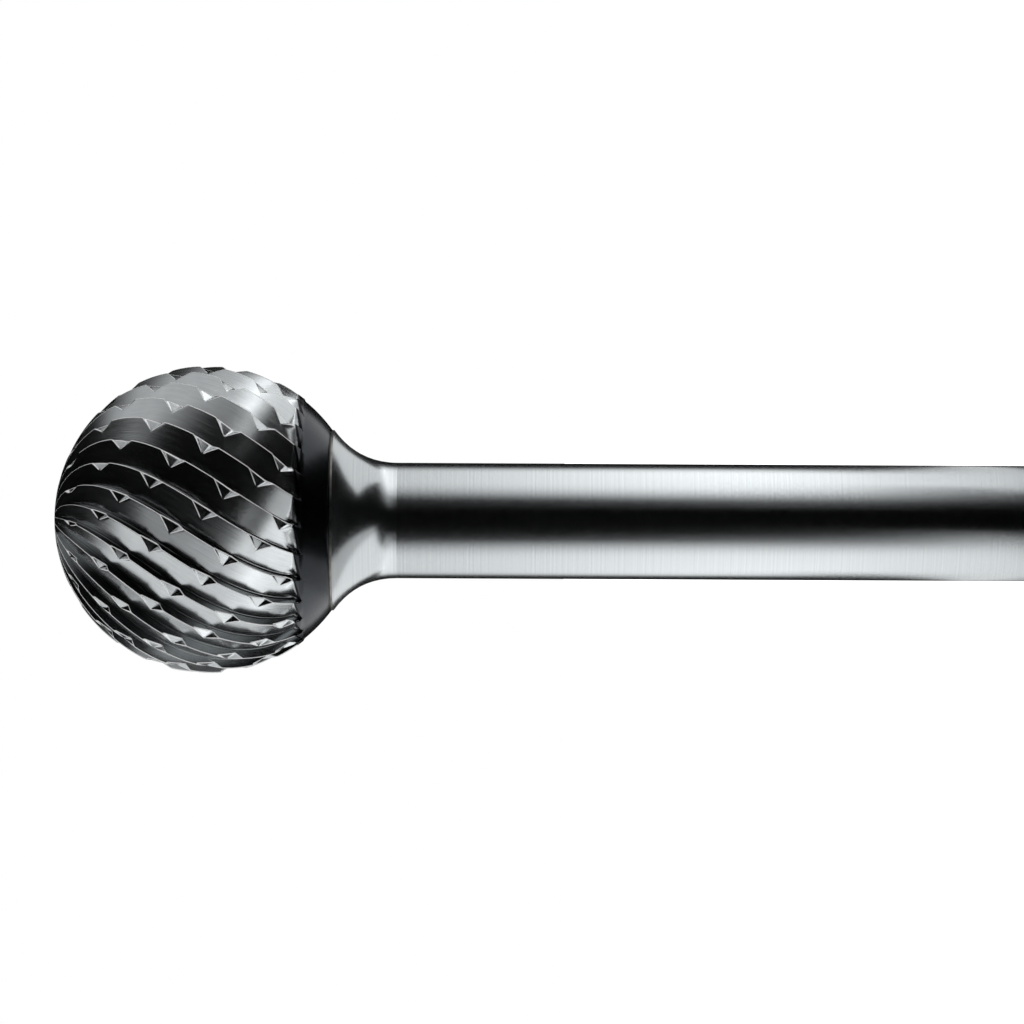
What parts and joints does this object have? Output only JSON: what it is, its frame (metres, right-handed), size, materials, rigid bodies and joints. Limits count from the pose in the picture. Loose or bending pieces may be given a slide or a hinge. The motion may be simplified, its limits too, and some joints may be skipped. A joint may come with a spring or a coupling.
{
  "type": "ball burr for a die grinder",
  "caption": "Ball-shaped tungsten carbide burr with spiral ground teeth nicked by chip breakers, brazed to a plain cylindrical steel shank",
  "frame": {"origin": "centre of the flat end face of the shank", "axes": "+Z along the tool's axis from the shank end to the tip of the ball; +X and +Y are square to it, fixed by the row of teeth that the picture shows"},
  "size_m": [0.0158, 0.0158, 0.054],
  "materials": {
    "carbide": "ground",
    "braze": "satin",
    "shank_steel": "satin ground"
  },
  "bodies": {
    "root": {"carbide_head": "carbide", "braze_joint": "braze", "steel_shank": "shank_steel"}
  },
  "joints": []
}
